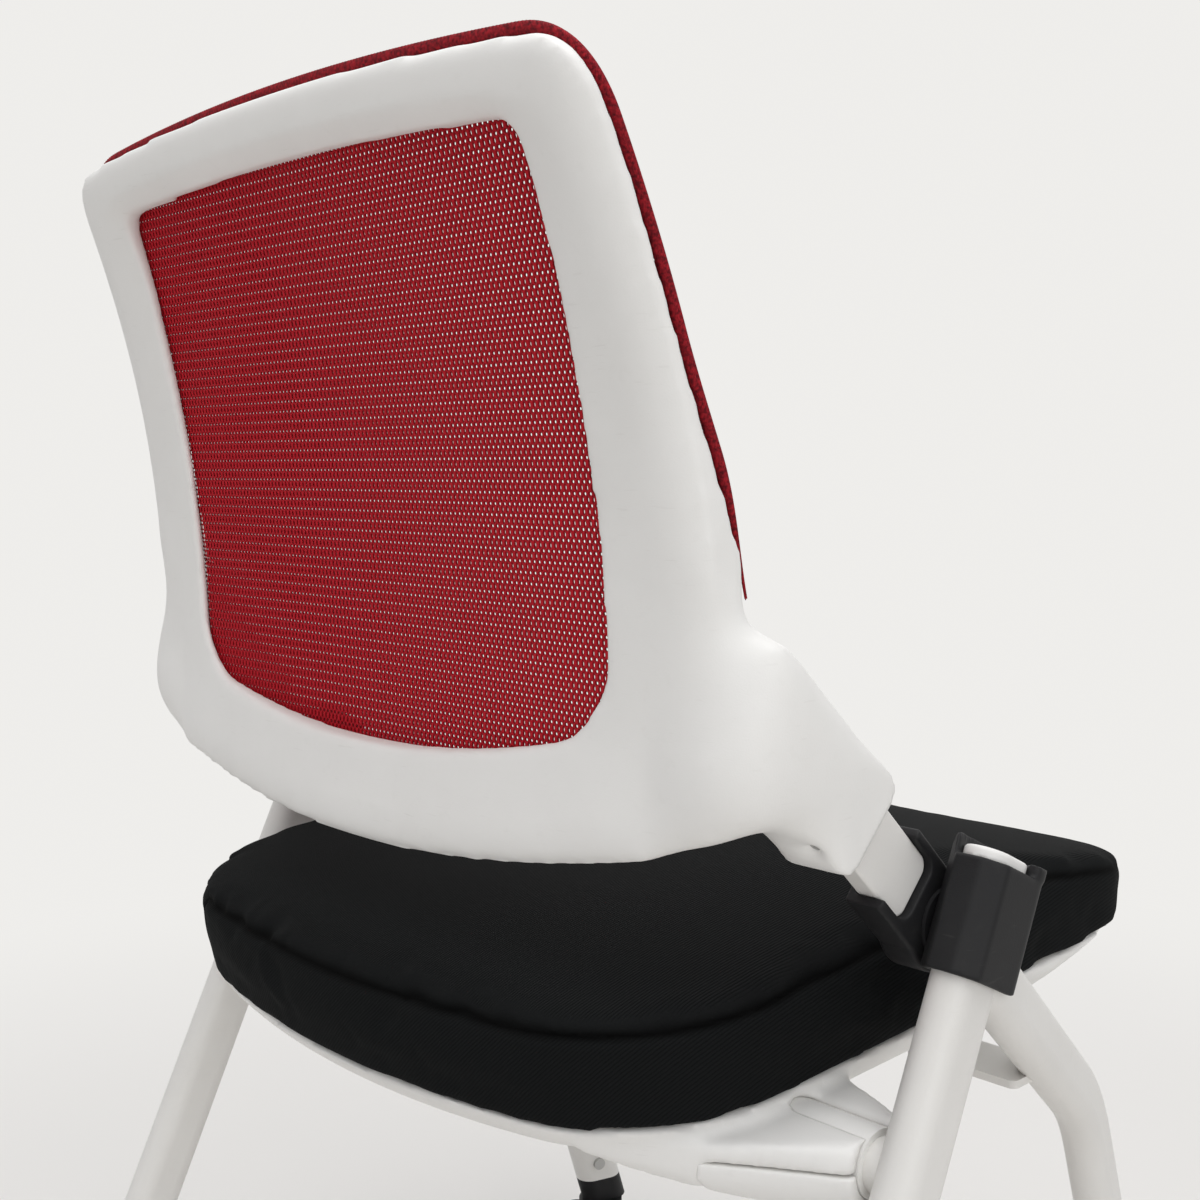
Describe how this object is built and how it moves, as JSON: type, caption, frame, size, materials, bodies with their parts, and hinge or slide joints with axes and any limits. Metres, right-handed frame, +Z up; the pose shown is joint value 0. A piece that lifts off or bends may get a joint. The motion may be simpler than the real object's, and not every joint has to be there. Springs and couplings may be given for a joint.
{
  "type": "conference chair",
  "caption": "Armless nesting conference chair: mesh back on a moulded frame that reclines, flip-up padded seat, oval-tube legs on twin-wheel casters.",
  "frame": {"origin": "on the floor, in the middle of the chair's overall box", "axes": "+Z up, the sitter faces -Y, the sitter's right hand is at -X"},
  "size_m": [0.5776, 0.48, 0.828],
  "materials": {
    "white_plastic": "warm white moulded plastic with a fine grain",
    "white_steel": "warm white powder coat on steel",
    "black_plastic": "black moulded plastic, matt",
    "red_mesh": "crimson open mesh",
    "red_edge": "dark crimson woven edge",
    "black_fabric": "near-black woven upholstery",
    "plywood": "plain plywood",
    "rubber": "matt",
    "steel": "zinc plated"
  },
  "bodies": {
    "frame": {"caster_adaptor_front_left": "black_plastic", "caster_adaptor_front_right": "black_plastic", "caster_adaptor_rear_left": "black_plastic", "caster_adaptor_rear_right": "black_plastic", "cross_tube": "white_steel", "front_leg_left": "white_steel", "front_leg_right": "white_steel", "hinge_pin_left": "steel", "hinge_pin_right": "steel", "hinge_washer_left": "black_plastic", "hinge_washer_right": "black_plastic", "joint_cover_left": "black_plastic", "joint_cover_right": "black_plastic", "leg_end_screws": "steel", "leg_plug_left": "white_plastic", "leg_plug_right": "white_plastic", "rear_leg_left": "white_steel", "rear_leg_right": "white_steel", "stop_bracket_left": "white_steel", "stop_bracket_right": "white_steel"},
    "backrest": {"back_frame": "white_plastic", "back_mesh": "red_mesh", "back_upright_left": "white_steel", "back_upright_right": "white_steel", "cover_edge": "red_edge", "ear_screws": "steel", "hinge_socket_left": "black_plastic", "hinge_socket_right": "black_plastic", "torsion_bush_left": "rubber", "torsion_bush_right": "rubber"},
    "seat": {"pivot_bush_left": "white_plastic", "pivot_bush_right": "white_plastic", "pivot_cap_left": "white_plastic", "pivot_cap_right": "white_plastic", "pivot_cap_screws": "steel", "seat_board": "plywood", "seat_bumpers": "rubber", "seat_pad": "black_fabric", "seat_shell": "white_plastic"},
    "caster_front_left": {"caster_axle_front_left": "steel", "caster_hood_front_left": "black_plastic", "caster_stem_front_left": "steel"},
    "wheel_front_left_inner": {"caster_wheel_front_left_inner": "black_plastic"},
    "wheel_front_left_outer": {"caster_wheel_front_left_outer": "black_plastic"},
    "caster_front_right": {"caster_axle_front_right": "steel", "caster_hood_front_right": "black_plastic", "caster_stem_front_right": "steel"},
    "wheel_front_right_inner": {"caster_wheel_front_right_inner": "black_plastic"},
    "wheel_front_right_outer": {"caster_wheel_front_right_outer": "black_plastic"},
    "caster_rear_left": {"caster_axle_rear_left": "steel", "caster_hood_rear_left": "black_plastic", "caster_stem_rear_left": "steel"},
    "wheel_rear_left_inner": {"caster_wheel_rear_left_inner": "black_plastic"},
    "wheel_rear_left_outer": {"caster_wheel_rear_left_outer": "black_plastic"},
    "caster_rear_right": {"caster_axle_rear_right": "steel", "caster_hood_rear_right": "black_plastic", "caster_stem_rear_right": "steel"},
    "wheel_rear_right_inner": {"caster_wheel_rear_right_inner": "black_plastic"},
    "wheel_rear_right_outer": {"caster_wheel_rear_right_outer": "black_plastic"}
  },
  "joints": [
    {"name": "recline", "type": "hinge", "parent": "frame", "child": "backrest", "pos_m": [0, 0.00823, 0.4387], "axis": [-1, 0, 0], "range_deg": [0, 10], "stiffness_Nm_per_rad": 60, "springref_deg": -5.73},
    {"name": "seat_flip", "type": "hinge", "parent": "frame", "child": "seat", "pos_m": [0, 0.05623, 0.342], "axis": [-1, 0, 0], "range_deg": [0, 45]},
    {"name": "swivel_front_left", "type": "hinge", "parent": "frame", "child": "caster_front_left", "pos_m": [0.231, -0.2211, 0.0635], "axis": [0, 0, 1], "continuous": true},
    {"name": "roll_front_left_inner", "type": "hinge", "parent": "caster_front_left", "child": "wheel_front_left_inner", "pos_m": [0.2187, -0.2031, 0.025], "axis": [1, 0, 0], "continuous": true},
    {"name": "roll_front_left_outer", "type": "hinge", "parent": "caster_front_left", "child": "wheel_front_left_outer", "pos_m": [0.2433, -0.2031, 0.025], "axis": [1, 0, 0], "continuous": true},
    {"name": "swivel_front_right", "type": "hinge", "parent": "frame", "child": "caster_front_right", "pos_m": [-0.231, -0.2211, 0.0635], "axis": [0, 0, 1], "continuous": true},
    {"name": "roll_front_right_inner", "type": "hinge", "parent": "caster_front_right", "child": "wheel_front_right_inner", "pos_m": [-0.2187, -0.2031, 0.025], "axis": [1, 0, 0], "continuous": true},
    {"name": "roll_front_right_outer", "type": "hinge", "parent": "caster_front_right", "child": "wheel_front_right_outer", "pos_m": [-0.2433, -0.2031, 0.025], "axis": [1, 0, 0], "continuous": true},
    {"name": "swivel_rear_left", "type": "hinge", "parent": "frame", "child": "caster_rear_left", "pos_m": [0.269, 0.1915, 0.0635], "axis": [0, 0, 1], "continuous": true},
    {"name": "roll_rear_left_inner", "type": "hinge", "parent": "caster_rear_left", "child": "wheel_rear_left_inner", "pos_m": [0.2567, 0.2095, 0.025], "axis": [1, 0, 0], "continuous": true},
    {"name": "roll_rear_left_outer", "type": "hinge", "parent": "caster_rear_left", "child": "wheel_rear_left_outer", "pos_m": [0.2813, 0.2095, 0.025], "axis": [1, 0, 0], "continuous": true},
    {"name": "swivel_rear_right", "type": "hinge", "parent": "frame", "child": "caster_rear_right", "pos_m": [-0.269, 0.1915, 0.0635], "axis": [0, 0, 1], "continuous": true},
    {"name": "roll_rear_right_inner", "type": "hinge", "parent": "caster_rear_right", "child": "wheel_rear_right_inner", "pos_m": [-0.2567, 0.2095, 0.025], "axis": [1, 0, 0], "continuous": true},
    {"name": "roll_rear_right_outer", "type": "hinge", "parent": "caster_rear_right", "child": "wheel_rear_right_outer", "pos_m": [-0.2813, 0.2095, 0.025], "axis": [1, 0, 0], "continuous": true}
  ]
}
